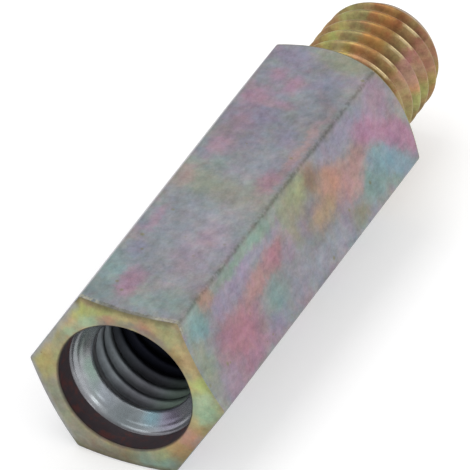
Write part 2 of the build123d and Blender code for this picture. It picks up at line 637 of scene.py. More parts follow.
class Graph:
    """Writes a node tree: adds nodes, sets their sockets, and joins them to each other."""

    def __init__(self, tree: bpy.types.NodeTree) -> None:
        """Starts on a tree, emptied.

        Args:
            tree: The node tree to write.
        """
        self.tree = tree
        tree.nodes.clear()

    def add(self, kind: str, sockets: dict[Any, Any] | None = None, **settings: Any) -> bpy.types.Node:
        """Adds a node.

        Args:
            kind: The node's type name.
            sockets: For an input's name or number, the value or tint it gets or the output it is joined to.
            **settings: The node's own settings.

        Returns:
            The new node.
        """
        node = self.tree.nodes.new(kind)
        for name, value in settings.items():
            setattr(node, name, value)
        for key, value in (sockets or {}).items():
            if isinstance(value, bpy.types.NodeSocket):
                self.tree.links.new(value, node.inputs[key])
            else:
                node.inputs[key].default_value = value.linear() if isinstance(value, Tint) else value
        return node

    def math(self, operation: str, *values: Any, clamp: bool = False) -> bpy.types.NodeSocket:
        """Gives the result of a Math node.

        Args:
            operation: The node's operation.
            *values: Numbers or outputs, one for each input.
            clamp: Whether the result is kept from 0 to 1.

        Returns:
            The node's output.
        """
        node = self.add("ShaderNodeMath", dict(enumerate(values)), operation=operation, use_clamp=clamp)
        return node.outputs[0]

    def vector_math(self, operation: str, *values: Any, output: int = 0) -> bpy.types.NodeSocket:
        """Gives the result of a Vector Math node.

        Args:
            operation: The node's operation.
            *values: Vectors or outputs, one for each input.
            output: 0 for the vector, 1 for the number.

        Returns:
            The node's output.
        """
        node = self.add("ShaderNodeVectorMath", dict(enumerate(values)), operation=operation)
        return node.outputs[output]

    def join(self, start: bpy.types.NodeSocket, end: bpy.types.NodeSocket) -> None:
        """Joins an output to an input."""
        self.tree.links.new(start, end)

    def scaled(self, vector: Any, share: Any) -> bpy.types.NodeSocket:
        """Gives a vector or colour times a number.

        Args:
            vector: The vector, a value or an output.
            share: The number, a value or an output.

        Returns:
            The node's output.
        """
        node = self.add("ShaderNodeVectorMath", {0: vector, "Scale": share}, operation="SCALE")
        return node.outputs[0]

    def ramp(self, value: Any, low: float, high: float, bottom: float = 0.0,
             top: float = 1.0) -> bpy.types.NodeSocket:
        """Carries a value from one range to another on a smooth step.

        Args:
            value: The output that is carried over.
            low: Where the result is bottom.
            high: Where the result is top.
            bottom: The result at low.
            top: The result at high.

        Returns:
            The node's output.
        """
        node = self.add(
            "ShaderNodeMapRange",
            {"Value": value, "From Min": low, "From Max": high, "To Min": bottom, "To Max": top},
            interpolation_type="SMOOTHSTEP",
        )
        return node.outputs["Result"]

    def noise(self, place: Any, scale: float, detail: float = 2.0, roughness: float = 0.5,
              distortion: float = 0.0, output: str = "Fac") -> bpy.types.NodeSocket:
        """Gives a noise pattern.

        Args:
            place: The vector that the pattern is read at, in millimetres.
            scale: Pattern cells to a millimetre.
            detail: Finer layers added.
            roughness: Strength of each finer layer.
            distortion: How far the pattern is stirred.
            output: "Fac" for a value or "Color" for three of them.

        Returns:
            The node's output.
        """
        node = self.add(
            "ShaderNodeTexNoise",
            {"Vector": place, "Scale": scale, "Detail": detail, "Roughness": roughness,
             "Distortion": distortion},
        )
        return node.outputs[output]

    def product(self, *values: Any) -> bpy.types.NodeSocket:
        """Gives the product of two or more numbers or outputs."""
        result = values[0]
        for value in values[1:]:
            result = self.math("MULTIPLY", result, value)
        return result

    def parts(self, vector: Any) -> Any:
        """Gives the outputs X, Y and Z of a vector."""
        return self.add("ShaderNodeSeparateXYZ", {0: vector}).outputs

    def vector(self, x: Any, y: Any = 0.0) -> bpy.types.NodeSocket:
        """Gives the vector with this X and Y and no Z."""
        return self.add("ShaderNodeCombineXYZ", {"X": x, "Y": y}).outputs[0]

    def band(self, value: Any, rise: tuple[float, float], fall: tuple[float, float]) -> bpy.types.NodeSocket:
        """Gives a mask that rises over one range of a value and falls again over another."""
        return self.product(self.ramp(value, *rise), self.ramp(value, *fall, 1.0, 0.0))

    def mix(self, factor: Any, first: Any, second: Any) -> bpy.types.NodeSocket:
        """Mixes two colours.

        Args:
            factor: Share of the second colour.
            first: The first colour, a tint or an output.
            second: The second colour, a tint or an output.

        Returns:
            The node's colour output.
        """
        node = self.add("ShaderNodeMix", {0: factor, 6: first, 7: second}, data_type="RGBA")
        return node.outputs[2]

    def group(self, tree: bpy.types.NodeTree, sockets: dict[str, Any]) -> bpy.types.Node:
        """Places a node group, with a value or a joined output for each input's name."""
        return self.add("ShaderNodeGroup", sockets, node_tree=tree)


class SocketKind(Enum):
    """Kinds of group sockets, by their type names."""

    COLOUR = "NodeSocketColor"
    VECTOR = "NodeSocketVector"
    VALUE = "NodeSocketFloat"


def new_group(
    name: str, inputs: dict[str, SocketKind], outputs: dict[str, SocketKind]
) -> tuple[bpy.types.NodeTree, Graph, bpy.types.Node, bpy.types.Node]:
    """Makes an empty shader node group with named sockets.

    Args:
        name: The group's name.
        inputs: Each input's name and kind.
        outputs: Each output's name and kind.

    Returns:
        The group's tree, its graph, its input node and its output node.
    """
    tree = bpy.data.node_groups.new(name, "ShaderNodeTree")
    for label, kind in inputs.items():
        tree.interface.new_socket(name=label, in_out="INPUT", socket_type=kind.value)
    for label, kind in outputs.items():
        tree.interface.new_socket(name=label, in_out="OUTPUT", socket_type=kind.value)
    graph = Graph(tree)
    return tree, graph, graph.add("NodeGroupInput"), graph.add("NodeGroupOutput")


@dataclass(frozen=True)
class Cloud:
    """A soft oval of tint, which fades on past its outline. Its length runs the way of along, then turned.

    On the flats it is placed along and across them in millimetres. On the turned ends and in the hole,
    along is its angle round the axis in degrees, across is its distance from the axis, and its length runs
    round the axis. On the stud, along is measured from the shoulder in millimetres, and across and width
    are angles in degrees.
    """

    along: float
    across: float
    length: float
    width: float
    tint: Tint
    strength: float = 1.0
    turn: float = 0.0

    def on_flats(self, edge: float) -> "Cloud":
        """Gives the cloud in unrolled millimetres, with the place of the edge that it is measured from."""
        return replace(self, across=edge + self.across)

    def round_the_hole(self) -> "Cloud":
        """Gives the cloud on the plane across the axis, its length turned to run round the axis."""
        angle = math.radians(self.along)
        return replace(self, along=self.across * math.cos(angle), across=self.across * math.sin(angle),
                       turn=self.along + 90)

    def round_the_stud(self, radius: float) -> "Cloud":
        """Gives the cloud on the stud's unrolled surface, whose radius is given."""
        return replace(self, across=math.radians(self.across) * radius,
                       width=math.radians(self.width) * radius)


class FinishGroups:
    """The node groups that the spacer's finishes share."""

    def __init__(self) -> None:
        """Builds each group once."""
        self.cloud = self.build_cloud()
        self.film = self.build_film()
        self.grain = self.build_grain()
        self.specks = self.build_specks()
        self.lathe = self.build_lathe()
        self.stir = self.build_stir()

    @staticmethod
    def build_cloud() -> bpy.types.NodeTree:
        """Builds a cloud. Its weight is its strength at the middle and a quarter of that at its outline.
        The colour becomes the mean, by weight, of the colours so far and the cloud's tint: the cloud's
        share in it is its weight over the sum of all weights so far. The place takes in a billionth of the
        weights, which moves nothing, so that Cycles works the clouds out in turn: held all at once, more
        than seventy of them overflow its shader stack, and the surface turns black.

        Returns:
            The group's tree.
        """
        kind = SocketKind
        tree, graph, given, result = new_group(
            "tint_cloud",
            {"Colour": kind.COLOUR, "Weights": kind.VALUE, "Place": kind.VECTOR, "Centre": kind.VECTOR,
             "Turn": kind.VECTOR, "Reach": kind.VECTOR, "Tint": kind.COLOUR, "Strength": kind.VALUE},
            {"Colour": kind.COLOUR, "Weights": kind.VALUE},
        )
        tie = graph.math("MULTIPLY", given.outputs["Weights"], TINY)
        local = graph.add(
            "ShaderNodeMapping",
            {"Vector": graph.vector_math("ADD", given.outputs["Place"], tie),
             "Location": given.outputs["Centre"], "Rotation": given.outputs["Turn"],
             "Scale": given.outputs["Reach"]},
            vector_type="TEXTURE",
        )
        squared = graph.vector_math("DOT_PRODUCT", local.outputs[0], local.outputs[0], output=1)
        fall = graph.math("EXPONENT", graph.math("MULTIPLY", squared, -math.log(4)))
        weight = graph.math("MULTIPLY", fall, given.outputs["Strength"])
        weights = graph.math("ADD", given.outputs["Weights"], weight)
        share = graph.math("DIVIDE", weight, weights)
        graph.join(graph.mix(share, given.outputs["Colour"], given.outputs["Tint"]), result.inputs["Colour"])
        graph.join(weights, result.inputs["Weights"])
        return tree

    @staticmethod
    def build_film() -> bpy.types.NodeTree:
        """Builds the passivation film's own drift of colour, from two patterns that each swing between two
        opposite tints. The second is read some way off, so that the two don't agree.

        Returns:
            The group's tree.
        """
        kind = SocketKind
        tree, graph, given, result = new_group(
            "passivation_film",
            {"Place": kind.VECTOR, "Scale": kind.VALUE, "First": kind.COLOUR, "Second": kind.COLOUR,
             "Third": kind.COLOUR, "Fourth": kind.COLOUR},
            {"Colour": kind.COLOUR},
        )
        place = graph.scaled(given.outputs["Place"], given.outputs["Scale"])
        shifted = graph.vector_math("ADD", place, (11.3, 4.7, 23.9))
        warm = graph.ramp(graph.noise(place, 1.0, 5.0, 0.62, 0.4), 0.36, 0.64)
        yellow = graph.ramp(graph.noise(shifted, 0.8, 5.0, 0.62, 0.4), 0.36, 0.64)
        first = graph.mix(warm, given.outputs["First"], given.outputs["Second"])
        second = graph.mix(yellow, given.outputs["Third"], given.outputs["Fourth"])
        graph.join(graph.mix(0.5, first, second), result.inputs["Colour"])
        return tree

    @staticmethod
    def build_stir() -> bpy.types.NodeTree:
        """Builds a place that wanders in the pattern's plane, widely and slowly and then a little and
        quickly, so that what is laid on it gets feathered outlines.

        Returns:
            The group's tree.
        """
        kind = SocketKind
        tree, graph, given, result = new_group(
            "stirred_place",
            {"Place": kind.VECTOR, "Pattern": kind.VECTOR, "Wander": kind.VALUE},
            {"Pattern": kind.VECTOR},
        )
        slow = graph.noise(given.outputs["Place"], 0.35, 2.0, 0.5, output="Color")
        quick = graph.noise(given.outputs["Place"], 1.5, 4.0, 0.65, output="Color")
        both = graph.vector_math("ADD", slow, quick)
        centred = graph.vector_math("SUBTRACT", both, (1.0, 1.0, 1.0))
        level = graph.vector_math("MULTIPLY", centred, (2.0, 2.0, 0.0))
        moved = graph.scaled(level, given.outputs["Wander"])
        graph.join(graph.vector_math("ADD", given.outputs["Pattern"], moved), result.inputs["Pattern"])
        return tree

    @staticmethod
    def build_grain() -> bpy.types.NodeTree:
        """Builds the matt crystals of the zinc: light and dark speckle in layers from half a millimetre
        down, a slow drift of light over several millimetres, and the speckle's height. All of it is drawn
        out a little along the bar.

        Returns:
            The group's tree.
        """
        kind = SocketKind
        tree, graph, given, result = new_group(
            "zinc_grain",
            {"Place": kind.VECTOR, "Colour": kind.COLOUR, "Contrast": kind.VALUE, "Drift": kind.VALUE},
            {"Colour": kind.COLOUR, "Height": kind.VALUE},
        )
        drawn = graph.vector_math("MULTIPLY", given.outputs["Place"], (1.0, 0.62, 1.0))
        speckle = graph.noise(drawn, 1.3, 6.0, 0.82)
        drift = graph.noise(drawn, 0.4, 4.0, 0.65)
        fine = graph.math("MULTIPLY", graph.math("SUBTRACT", speckle, 0.5), given.outputs["Contrast"])
        slow = graph.math("MULTIPLY", graph.math("SUBTRACT", drift, 0.5), given.outputs["Drift"])
        level = graph.math("ADD", graph.math("ADD", fine, slow), 1.0)
        graph.join(graph.scaled(given.outputs["Colour"], level), result.inputs["Colour"])
        graph.join(speckle, result.inputs["Height"])
        return tree

    @staticmethod
    def build_specks() -> bpy.types.NodeTree:
        """Builds sparse dark specks: cells of which few hold a round speck of their own size.

        Returns:
            The group's tree.
        """
        kind = SocketKind
        tree, graph, given, result = new_group(
            "dark_specks",
            {"Place": kind.VECTOR, "Colour": kind.COLOUR, "Speck": kind.COLOUR, "Cells": kind.VALUE,
             "Share": kind.VALUE},
            {"Colour": kind.COLOUR},
        )
        cells = graph.add(
            "ShaderNodeTexVoronoi", {"Vector": given.outputs["Place"], "Scale": given.outputs["Cells"]}
        )
        drawn_lots = graph.add("ShaderNodeSeparateColor", {0: cells.outputs["Color"]}).outputs
        held = graph.math("LESS_THAN", drawn_lots[0], given.outputs["Share"])
        size = graph.math("MULTIPLY_ADD", drawn_lots[1], 0.22, 0.1)
        inside = graph.ramp(graph.math("DIVIDE", cells.outputs["Distance"], size), 0.4, 1.2, 1.0, 0.0)
        cover = graph.product(inside, held, 0.65)
        graph.join(graph.mix(cover, given.outputs["Colour"], given.outputs["Speck"]), result.inputs["Colour"])
        return tree

    @staticmethod
    def build_lathe() -> bpy.types.NodeTree:
        """Builds fine turning lines about the bar's axis: a pattern that changes with the radius and with
        the place along the bar, and not round it.

        Returns:
            The group's tree.
        """
        kind = SocketKind
        tree, graph, given, result = new_group(
            "turning_lines", {"Place": kind.VECTOR, "Lines": kind.VALUE}, {"Height": kind.VALUE}
        )
        parts = graph.parts(given.outputs["Place"])
        radius = graph.vector_math("LENGTH", graph.vector(parts["X"], parts["Z"]), output=1)
        travel = graph.math("MULTIPLY", graph.math("ADD", radius, parts["Y"]), given.outputs["Lines"])
        graph.join(graph.noise(graph.vector(travel), 1.0, 2.0, 0.7), result.inputs["Height"])
        return tree


@dataclass
class Pattern:
    """The places that a material of the spacer is painted by, all in millimetres.

    Place is measured from the bar's axis and the middle of its length, along is its part along the bar, face
    is its part across the axis, and depth is the distance from the open end.
    """

    graph: Graph
    place: Any = None
    along: Any = None
    face: Any = None
    radius: Any = None
    depth: Any = None

    def __post_init__(self) -> None:
        """Works the places out from the spacer's own coordinates."""
        graph = self.graph
        position = graph.add("ShaderNodeTexCoord").outputs["Object"]
        height = cad_bounds[1].z * MM_PER_METRE / 2
        self.place = graph.vector_math("SUBTRACT", graph.scaled(position, MM_PER_METRE), (0.0, 0.0, height))
        parts = graph.parts(self.place)
        self.along = parts["Y"]
        self.face = graph.vector(parts["X"], parts["Z"])
        self.radius = graph.vector_math("LENGTH", self.face, output=1)
        self.depth = graph.math("SUBTRACT", self.along, cad_bounds[0].y * MM_PER_METRE)

    def angle(self) -> Any:
        """Works out the angle round the axis, in radians, from the right-hand corner and up."""
        parts = self.graph.parts(self.face)
        return self.graph.math("ARCTAN2", parts["Y"], parts["X"])

    def wrapped(self, radius: float, start: float) -> Any:
        """Unrolls the surface round the axis, as the stud's clouds need it.

        Args:
            radius: The radius that it is unrolled at.
            start: The place along the bar that the run is measured from, from the middle of its length.

        Returns:
            The run along the bar and the arc round it.
        """
        arc = self.graph.math("MULTIPLY", self.angle(), radius)
        run = self.graph.math("SUBTRACT", self.along, start)
        return self.graph.vector(run, arc)


@dataclass(frozen=True)
class Finish:
    """What every finish of the spacer shares: its gloss, its bump, its grain and its clouds of tint."""

    name: str
    roughness: float = 0.42
    metallic: float = 1.0
    bump_strength: float = 0.12
    bump_distance: float = 0.02
    grain_contrast: float = 0.5
    grain_drift: float = 0.25
    wander: float = 0.6
    clouds: tuple[Cloud, ...] = ()
    ground_weight: float = 0.25

    def start(self) -> tuple[bpy.types.Material, Pattern]:
        """Makes the material, emptied.

        Returns:
            The material and the places that it is painted by.
        """
        material = bpy.data.materials.new(self.name)
        material.use_nodes = True
        return material, Pattern(Graph(material.node_tree))

    def film(self, pattern: Pattern, groups: FinishGroups, scale: float, tints: tuple[Tint, ...]) -> Any:
        """Lays the film's drift of colour.

        Args:
            pattern: The material's places.
            groups: The shared node groups.
            scale: Pattern cells to a millimetre.
            tints: Its four tints, in opposite pairs.

        Returns:
            The film's colour.
        """
        sockets = dict(zip(("First", "Second", "Third", "Fourth"), tints))
        node = pattern.graph.group(groups.film, {"Place": pattern.place, "Scale": scale, **sockets})
        return node.outputs["Colour"]

    def flecked(self, pattern: Pattern, groups: FinishGroups, colour: Any, share: float, scale: float,
                tints: tuple[Tint, ...]) -> Any:
        """Breaks a colour up with a share of a finer film.

        Args:
            pattern: The material's places.
            groups: The shared node groups.
            colour: The colour that is broken up.
            share: The finer film's share.
            scale: The finer film's cells to a millimetre.
            tints: The finer film's four tints.

        Returns:
            The colour with its flecks.
        """
        return pattern.graph.mix(share, colour, self.film(pattern, groups, scale, tints))

    def specked(self, pattern: Pattern, groups: FinishGroups, colour: Any, speck: Tint, cells: float,
                share: float) -> Any:
        """Scatters specks over a colour.

        Args:
            pattern: The material's places.
            groups: The shared node groups.
            colour: The colour under them.
            speck: Their tint.
            cells: Cells to a millimetre.
            share: The share of the cells that hold a speck.

        Returns:
            The colour with its specks.
        """
        sockets = {"Place": pattern.place, "Colour": colour, "Speck": speck, "Cells": cells, "Share": share}
        return pattern.graph.group(groups.specks, sockets).outputs["Colour"]

    def turning_lines(self, pattern: Pattern, groups: FinishGroups, lines: float) -> Any:
        """Gives the height of fine turning lines, with so many of them to a millimetre."""
        return pattern.graph.group(groups.lathe, {"Place": pattern.place, "Lines": lines}).outputs["Height"]

    def clouded(self, pattern: Pattern, groups: FinishGroups, ground: Any, surface: Any,
                clouds: list[Cloud]) -> Any:
        """Lays clouds of tint on a ground. Each place gets the mean of the ground and all the clouds, by
        their weights there.

        Args:
            pattern: The material's places.
            groups: The shared node groups.
            ground: The colour where no cloud is near.
            surface: The place on the plane or unrolled surface that the clouds lie on.
            clouds: The clouds, already placed on that surface.

        Returns:
            The mean colour.
        """
        graph = pattern.graph
        stirred = graph.group(
            groups.stir, {"Place": pattern.place, "Pattern": surface, "Wander": self.wander}
        ).outputs["Pattern"]
        colour, weights = ground, self.ground_weight
        for cloud in clouds:
            node = graph.group(
                groups.cloud,
                {"Colour": colour, "Weights": weights, "Place": stirred,
                 "Centre": (cloud.along, cloud.across, 0.0), "Turn": (0.0, 0.0, math.radians(cloud.turn)),
                 "Reach": (cloud.length / 2, cloud.width / 2, 1.0), "Tint": cloud.tint,
                 "Strength": cloud.strength},
            )
            colour, weights = node.outputs["Colour"], node.outputs["Weights"]
        return colour

    def finish(self, pattern: Pattern, groups: FinishGroups, colour: Any, roughness: Any = None,
               height: Any = None) -> None:
        """Adds the grain and joins everything to the material's shader.

        Args:
            pattern: The material's places.
            groups: The shared node groups.
            colour: The colour before its grain.
            roughness: The roughness, if it varies.
            height: The bump's height, if it isn't the grain's.
        """
        graph = pattern.graph
        grain = graph.group(
            groups.grain,
            {"Place": pattern.place, "Colour": colour, "Contrast": self.grain_contrast,
             "Drift": self.grain_drift},
        ).outputs
        bump = graph.add(
            "ShaderNodeBump",
            {"Height": grain["Height"] if height is None else height, "Strength": self.bump_strength,
             "Distance": self.bump_distance * METRES_PER_MM},
        )
        shader = graph.add(
            "ShaderNodeBsdfPrincipled",
            {"Base Color": grain["Colour"], "Roughness": self.roughness if roughness is None else roughness,
             "Metallic": self.metallic, "Normal": bump.outputs[0]},
        )
        graph.add("ShaderNodeOutputMaterial", {"Surface": shader.outputs[0]})


@dataclass(frozen=True)
class FlatsFinish(Finish):
    """The six flats: blue-grey zinc under soft clouds of pink, lilac, teal and gold, with darker edges and a
    lip at the open end that is worn and carries a painted highlight. Bare steel tint thins the film, a
    little on the two right-hand flats and more on the others."""

    steel_share: float = 0.35
    steel_right: float = 0.06
    steel_elsewhere: float = 0.32
    edge_darkness: float = 0.5
    dull_roughness: float = 0.75

    def build(self, groups: FinishGroups, form: TurnedSpacer) -> bpy.types.Material:
        """Makes the material. The place across the unrolled flats runs on below nought over the last one, so
        that clouds can lie over the edge where the first flat starts.

        Args:
            groups: The shared node groups.
            form: The spacer that it dresses.

        Returns:
            The material.
        """
        material, pattern = self.start()
        graph = pattern.graph
        flat_width = form.section.flat_width
        parts = graph.parts(graph.add("ShaderNodeUVMap", uv_map=UNROLLED_MAP).outputs[0])
        across = graph.math("WRAP", parts["Y"], 5 * flat_width, -flat_width)
        film = self.film(pattern, groups, 0.3, (Tint.TEAL, Tint.PINK, Tint.OLIVE, Tint.VIOLET))
        ground = graph.mix(self.steel_share, film, Tint.STEEL)
        laid = [cloud.on_flats(flat_width) for cloud in self.clouds]
        colour = self.clouded(pattern, groups, ground, graph.vector(parts["X"], across), laid)
        thinned = graph.ramp(across, flat_width - 0.2, flat_width + 0.2, self.steel_right,
                             self.steel_elsewhere)
        colour = graph.mix(thinned, colour, Tint.STEEL)
        fleck_tints = (Tint.TEAL, Tint.PINK, Tint.YELLOW, Tint.VIOLET)
        colour = self.flecked(pattern, groups, colour, 0.14, 1.2, fleck_tints)
        lip, colour = self.worn_and_highlit_lip(pattern, colour, form)
        edge = self.edge_mask(pattern, across, flat_width)
        colour = graph.mix(graph.product(edge, self.edge_darkness), colour, Tint.EDGE_GREY)
        colour = self.specked(pattern, groups, colour, Tint.MOSS, 1.3, 0.05)
        dull = graph.math("MAXIMUM", edge, lip)
        self.finish(pattern, groups, colour, graph.ramp(dull, 0.0, 1.0, self.roughness, self.dull_roughness))
        return material

    def worn_and_highlit_lip(self, pattern: Pattern, colour: Any, form: TurnedSpacer) -> tuple[Any, Any]:
        """Dulls the lip of the open end's chamfer: brown over the middle of the upper flat, and pale, in a
        broken line, toward both of its ends, which is wear and a painted highlight along the edge. The
        chamfer's depth at a place is its slope times the way from where it starts to the place's radius,
        and the lip lies just past it.

        Args:
            pattern: The material's places.
            colour: The flats' colour.
            form: The spacer that it dresses.

        Returns:
            The lip's mask, and the colour with its lip.
        """
        graph = pattern.graph
        ring_radius = form.open_ring_radius
        slope = math.tan(math.radians(form.open_chamfer_angle))
        run = graph.math("SUBTRACT", pattern.radius, ring_radius)
        past = graph.math("MULTIPLY_ADD", run, -slope, pattern.depth)
        parts = graph.parts(pattern.face)
        upper = graph.ramp(parts["Y"], ring_radius - 0.4, ring_radius)
        parted = graph.noise(pattern.place, 2.2, 4.0, 0.8)
        ragged = graph.math("MULTIPLY_ADD", graph.math("SUBTRACT", parted, 0.5), 0.8, past)
        lip = graph.product(graph.ramp(ragged, 0.1, 0.5, 1.0, 0.0), upper)
        sideways = graph.ramp(graph.math("ABSOLUTE", parts["X"]), 1.4, 3.2)
        browned = graph.product(lip, graph.ramp(sideways, 0.0, 1.0, 0.6, 0.1))
        colour = graph.mix(browned, colour, Tint.RIM_BROWN)
        # Pale broken line along the lip: wear, and a painted highlight of the edge.
        line = graph.product(graph.ramp(past, 0.08, 0.5, 1.0, 0.0), upper)
        broken = graph.ramp(parted, 0.38, 0.54, 0.0, 0.9)
        wear_and_highlight = graph.product(line, broken, graph.ramp(sideways, 0.0, 1.0, 0.2, 1.0))
        return lip, graph.mix(wear_and_highlight, colour, Tint.WORN_LIP)

    def edge_mask(self, pattern: Pattern, across: Any, flat_width: float) -> Any:
        """Masks the dull, darker line along the edges between the flats, which is speckled and wanders. It is
        strongest on the upper right edge.

        Args:
            pattern: The material's places.
            across: The place across the unrolled flats.
            flat_width: Width of one flat.

        Returns:
            The mask.
        """
        graph = pattern.graph
        to_edge = graph.math("PINGPONG", graph.math("ADD", across, 0.06), flat_width / 2)
        wobble = graph.math("MULTIPLY_ADD", graph.noise(pattern.place, 1.3, 4.0, 0.65), 0.34, to_edge)
        line = graph.ramp(wobble, 0.16, 0.58, 1.0, 0.0)
        speckle = graph.ramp(graph.noise(pattern.place, 1.6, 5.0, 0.75), 0.34, 0.62, 0.45, 1.0)
        from_upper_right = graph.math("ABSOLUTE", graph.math("SUBTRACT", across, flat_width))
        strength = graph.ramp(from_upper_right, 0.5 * flat_width, 0.9 * flat_width, 1.0, 0.3)
        return graph.product(line, speckle, strength)


@dataclass(frozen=True)
class TurnedFinish(Finish):
    """The turned ring, chamfers and shoulder: olive-yellow film that changes tint round the hole."""

    def build(self, groups: FinishGroups, form: TurnedSpacer) -> bpy.types.Material:
        """Makes the material.

        Args:
            groups: The shared node groups.
            form: The spacer that it dresses.

        Returns:
            The material.
        """
        material, pattern = self.start()
        film = self.film(pattern, groups, 0.6, (Tint.LIME, Tint.SALMON, Tint.OLIVE, Tint.YELLOW))
        laid = [cloud.round_the_hole() for cloud in self.clouds]
        colour = self.clouded(pattern, groups, film, pattern.face, laid)
        fleck_tints = (Tint.MINT, Tint.ORANGE, Tint.LIME, Tint.BROWN)
        colour = self.flecked(pattern, groups, colour, 0.15, 1.9, fleck_tints)
        colour = self.rims(pattern, colour, form)
        colour = self.specked(pattern, groups, colour, Tint.BROWN, 2.0, 0.1)
        self.finish(pattern, groups, colour, height=self.turning_lines(pattern, groups, 14.0))
        return material

    def rims(self, pattern: Pattern, colour: Any, form: TurnedSpacer) -> Any:
        """Paints shade on the hole's broken edge, and lays the grey rim inside the flats. The rim is brown
        under the upper and lower flats and, more faintly, on the right. The nearest flat is the one that the
        place lies furthest toward, of the three ways square to the flats and their opposites.

        Args:
            pattern: The material's places.
            colour: The turned ends' colour.
            form: The spacer that it dresses.

        Returns:
            The colour with its rims.
        """
        graph = pattern.graph
        flat_radius = form.section.flat_radius
        hole_radius = form.counterbore_radius
        # Painted shade on the hole's broken edge, darkest next to the hole.
        at_open_end = graph.ramp(pattern.depth, 1.0, 2.0, 1.0, 0.0)
        at_hole = graph.ramp(pattern.radius, hole_radius + 0.02, hole_radius + 0.22, 0.8, 0.0)
        shade_cover = graph.product(at_hole, at_open_end)
        colour = graph.mix(shade_cover, colour, Tint.STAIN)
        ways = [(math.cos(angle), math.sin(angle), 0.0) for angle in map(math.radians, (90, 30, -30))]
        upright, rising, falling = [
            graph.math("ABSOLUTE", graph.vector_math("DOT_PRODUCT", pattern.face, way, output=1))
            for way in ways
        ]
        furthest = graph.math("MAXIMUM", upright, graph.math("MAXIMUM", rising, falling))
        parted = graph.noise(pattern.place, 1.4, 4.0, 0.65)
        reach = graph.math("MULTIPLY_ADD", parted, 0.7, furthest)
        rim = graph.ramp(reach, flat_radius - 0.35, flat_radius + 0.3, 0.0, 0.85)
        level = graph.ramp(upright, flat_radius - 0.9, flat_radius - 0.4)
        rightward = graph.ramp(graph.parts(pattern.face)["X"], 3.2, 4.4)
        tint = graph.mix(graph.math("MAXIMUM", level, rightward), Tint.RIM_STEEL, Tint.RIM_BROWN)
        cover = graph.product(rim, graph.ramp(rightward, 0.0, 1.0, 1.0, 0.45))
        return graph.mix(cover, colour, tint)


@dataclass(frozen=True)
class CounterboreFinish(Finish):
    """The counterbore's wall: dull, with painted shade that makes it dark, over red-brown patches."""

    def build(self, groups: FinishGroups) -> bpy.types.Material:
        """Makes the material.

        Args:
            groups: The shared node groups.

        Returns:
            The material.
        """
        material, pattern = self.start()
        # Painted shade: the wall's ground and its red-brown patches are both painted dark.
        patch = pattern.graph.ramp(pattern.graph.noise(pattern.place, 0.9, 4.0, 0.65), 0.46, 0.64)
        self.finish(pattern, groups, pattern.graph.mix(patch, Tint.STAIN, Tint.RUSSET_STAIN))
        return material


@dataclass(frozen=True)
class BoreFinish(Finish):
    """The countersink, bright where the tool has just cut, and the thread behind it. Shade is painted in: a
    dark band at the counterbore's foot, and on the thread, which is painted paler over its first turn and
    darker inwards, to near black. Depths are measured from the open end."""

    thread_clouds: tuple[Cloud, ...] = ()
    thread_roughness: float = 0.46
    countersink_foot: float = 3.45
    shade_start_depth: float = 6.3
    full_shade_depth: float = 8.6

    def build(self, groups: FinishGroups, form: TurnedSpacer) -> bpy.types.Material:
        """Makes the material.

        Args:
            groups: The shared node groups.
            form: The spacer that it dresses.

        Returns:
            The material.
        """
        material, pattern = self.start()
        graph = pattern.graph
        depth = pattern.depth
        bright = graph.mix(graph.noise(pattern.place, 0.8, 3.0, 0.6), Tint.PALE_STEEL, Tint.STEEL)
        laid = [cloud.round_the_hole() for cloud in self.clouds]
        bright = self.clouded(pattern, groups, bright, pattern.face, laid)
        # Painted shade in the corner at the counterbore's foot.
        shade_cover = graph.ramp(depth, form.counterbore_depth, form.counterbore_depth + 0.25, 0.6, 0.0)
        bright = graph.mix(shade_cover, bright, Tint.STAIN)
        thread = graph.mix(graph.noise(pattern.place, 1.3, 4.0, 0.65), Tint.DARK_STEEL, Tint.STEEL)
        # Painted light: the thread's first turn, nearest the mouth, is painted paler.
        first_turn_light = graph.ramp(depth, self.countersink_foot + 0.4, self.countersink_foot + 1.2, 1.0, 0.0)
        thread = graph.mix(first_turn_light, thread, Tint.PALE_STEEL)
        laid = [cloud.round_the_hole() for cloud in self.thread_clouds]
        thread = self.clouded(pattern, groups, thread, pattern.face, laid)
        # Painted shade: the thread darkens with depth toward near black.
        thread = graph.mix(graph.ramp(depth, self.shade_start_depth, self.full_shade_depth), thread, Tint.NIGHT)
        inside = graph.ramp(depth, self.countersink_foot - 0.1, self.countersink_foot + 0.15)
        roughness = graph.ramp(inside, 0.0, 1.0, self.roughness, self.thread_roughness)
        lines = self.turning_lines(pattern, groups, 9.0)
        self.finish(pattern, groups, graph.mix(inside, bright, thread), roughness, lines)
        return material


